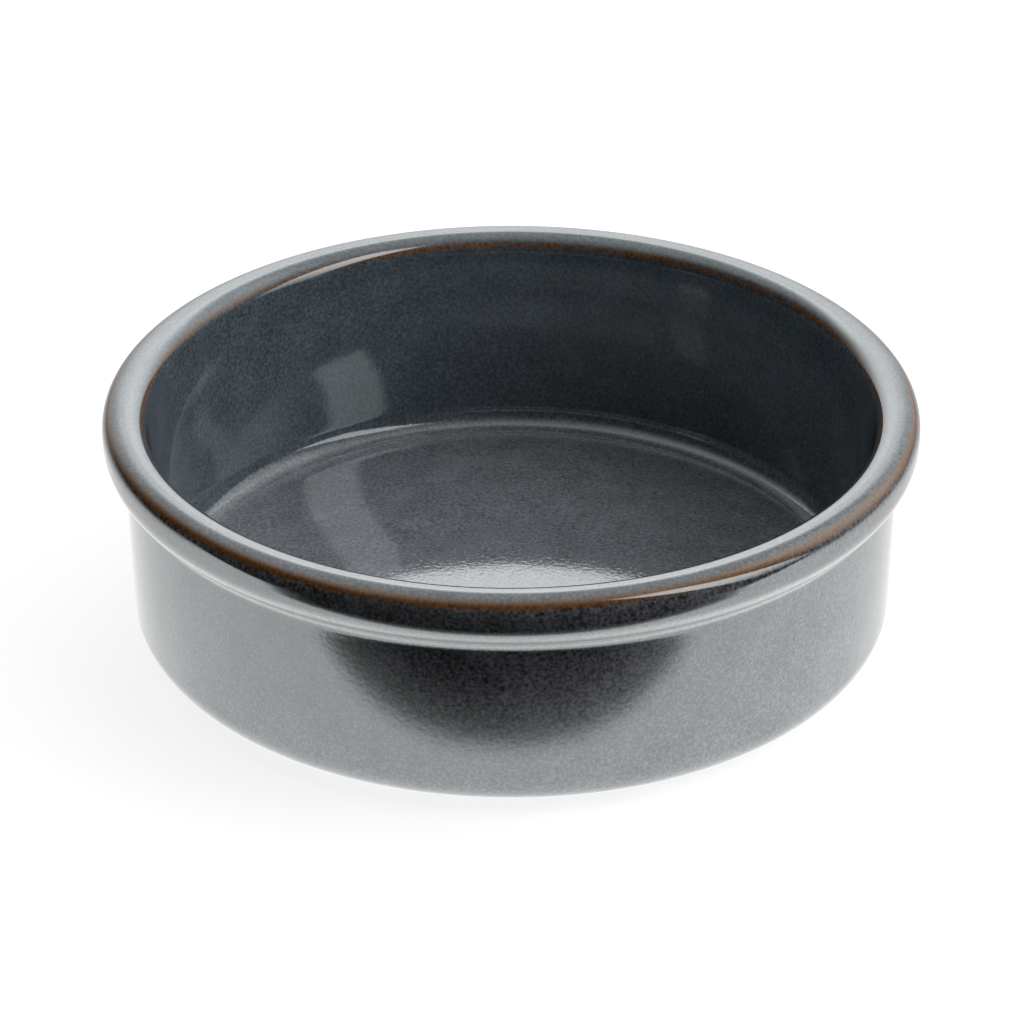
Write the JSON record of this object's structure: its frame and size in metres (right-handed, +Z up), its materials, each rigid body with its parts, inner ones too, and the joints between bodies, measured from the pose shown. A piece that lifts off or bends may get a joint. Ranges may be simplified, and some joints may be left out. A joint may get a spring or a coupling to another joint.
{
  "type": "tapas dish",
  "caption": "Round straight-sided stoneware dish with a rolled rim and collar, a bare foot ring and a mottled blue-grey glaze, for baking and serving small portions.",
  "frame": {"origin": "middle of the plane that the foot ring stands on", "axes": "+Z up along the dish's axis of revolution, X and Y level; the picture looks along +Y"},
  "size_m": [0.145, 0.145, 0.0448],
  "materials": {
    "stoneware": "matt, unglazed fired clay",
    "reactive_glaze": "glossy mottled blue-grey reactive glaze, breaking brown on the rim's edges",
    "base_glaze": "glossy mottled blue-grey glaze"
  },
  "bodies": {
    "root": {"stoneware_body": "stoneware", "glaze_coat": "reactive_glaze", "base_glaze": "base_glaze"}
  },
  "joints": []
}
